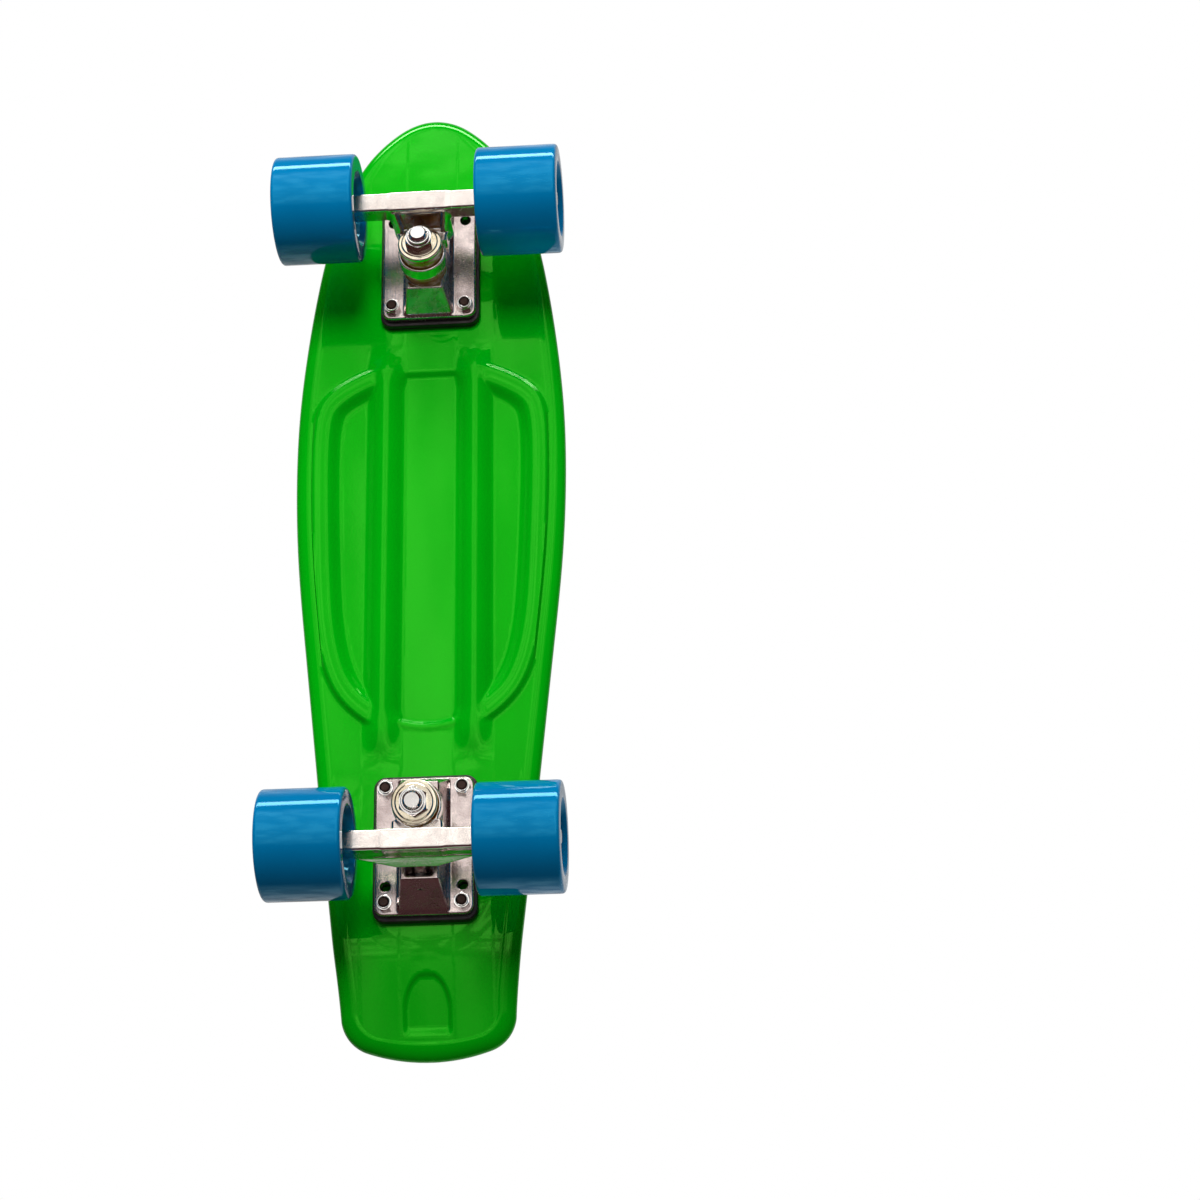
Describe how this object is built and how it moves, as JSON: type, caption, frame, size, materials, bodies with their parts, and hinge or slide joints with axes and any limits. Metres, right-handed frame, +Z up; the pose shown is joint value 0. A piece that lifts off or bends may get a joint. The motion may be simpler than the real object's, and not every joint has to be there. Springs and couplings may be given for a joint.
{
  "type": "skateboard",
  "caption": "Short moulded plastic cruiser skateboard with kick tail, waffle grip deck, ribbed underside, sprung trucks and urethane wheels on ball bearings.",
  "frame": {"origin": "on the ground under the middle of the board", "axes": "+Y along the board towards the tail, +Z up, +X to the right side seen from the tail end looking to the nose"},
  "size_m": [0.157, 0.56, 0.1023],
  "materials": {
    "deck_green": "glossy moulded polypropylene",
    "wheel_blue": "satin cast urethane",
    "cast_metal": "polished casting",
    "bright_steel": "bright plated",
    "zinc_steel": "zinc plated",
    "yellow_zinc": "yellow zinc plated",
    "bearing_steel": "ground",
    "shield_steel": "pressed sheet",
    "amber_urethane": "translucent amber urethane",
    "riser_black": "matt",
    "cup_plastic": "matt",
    "screw_black": "black oxide"
  },
  "bodies": {
    "board": {"deck": "deck_green", "mounting_screws": "screw_black", "mounting_nuts": "zinc_steel", "front_riser_pad": "riser_black", "front_baseplate": "cast_metal", "front_pivot_cup": "cup_plastic", "front_kingpin": "bright_steel", "front_kingpin_nut": "bright_steel", "front_board_side_bushing": "amber_urethane", "front_road_side_bushing": "amber_urethane", "front_board_side_washer": "yellow_zinc", "front_road_side_washer": "yellow_zinc", "rear_riser_pad": "riser_black", "rear_baseplate": "cast_metal", "rear_pivot_cup": "cup_plastic", "rear_kingpin": "bright_steel", "rear_kingpin_nut": "bright_steel", "rear_board_side_bushing": "amber_urethane", "rear_road_side_bushing": "amber_urethane", "rear_board_side_washer": "yellow_zinc", "rear_road_side_washer": "yellow_zinc"},
    "front_hanger": {"front_hanger": "cast_metal", "front_axle": "zinc_steel", "front_left_inner_races": "bearing_steel", "front_left_balls": "bearing_steel", "front_left_spacer": "zinc_steel", "front_left_speed_washers": "zinc_steel", "front_left_axle_nut": "bright_steel", "front_right_inner_races": "bearing_steel", "front_right_balls": "bearing_steel", "front_right_spacer": "zinc_steel", "front_right_speed_washers": "zinc_steel", "front_right_axle_nut": "bright_steel"},
    "rear_hanger": {"rear_hanger": "cast_metal", "rear_axle": "zinc_steel", "rear_left_inner_races": "bearing_steel", "rear_left_balls": "bearing_steel", "rear_left_spacer": "zinc_steel", "rear_left_speed_washers": "zinc_steel", "rear_left_axle_nut": "bright_steel", "rear_right_inner_races": "bearing_steel", "rear_right_balls": "bearing_steel", "rear_right_spacer": "zinc_steel", "rear_right_speed_washers": "zinc_steel", "rear_right_axle_nut": "bright_steel"},
    "front_left_wheel": {"front_left_wheel": "wheel_blue", "front_left_outer_races": "bearing_steel", "front_left_shields": "shield_steel"},
    "front_right_wheel": {"front_right_wheel": "wheel_blue", "front_right_outer_races": "bearing_steel", "front_right_shields": "shield_steel"},
    "rear_left_wheel": {"rear_left_wheel": "wheel_blue", "rear_left_outer_races": "bearing_steel", "rear_left_shields": "shield_steel"},
    "rear_right_wheel": {"rear_right_wheel": "wheel_blue", "rear_right_outer_races": "bearing_steel", "rear_right_shields": "shield_steel"}
  },
  "joints": [
    {"name": "front_steer", "type": "hinge", "parent": "board", "child": "front_hanger", "pos_m": [0, -0.16707, 0.04395], "axis": [0, -0.8956, 0.4449], "range_deg": [-15, 15], "stiffness_Nm_per_rad": 18, "deforming": ["front_board_side_bushing", "front_road_side_bushing"]},
    {"name": "rear_steer", "type": "hinge", "parent": "board", "child": "rear_hanger", "pos_m": [0, 0.15387, 0.04395], "axis": [0, 0.8956, 0.4449], "range_deg": [-15, 15], "stiffness_Nm_per_rad": 18, "deforming": ["rear_board_side_bushing", "rear_road_side_bushing"]},
    {"name": "front_left_spin", "type": "hinge", "parent": "front_hanger", "child": "front_left_wheel", "pos_m": [-0.056, -0.1912, 0.0295], "axis": [1, 0, 0], "continuous": true},
    {"name": "front_right_spin", "type": "hinge", "parent": "front_hanger", "child": "front_right_wheel", "pos_m": [0.056, -0.1912, 0.0295], "axis": [1, 0, 0], "continuous": true},
    {"name": "rear_left_spin", "type": "hinge", "parent": "rear_hanger", "child": "rear_left_wheel", "pos_m": [-0.056, 0.178, 0.0295], "axis": [1, 0, 0], "continuous": true},
    {"name": "rear_right_spin", "type": "hinge", "parent": "rear_hanger", "child": "rear_right_wheel", "pos_m": [0.056, 0.178, 0.0295], "axis": [1, 0, 0], "continuous": true}
  ]
}
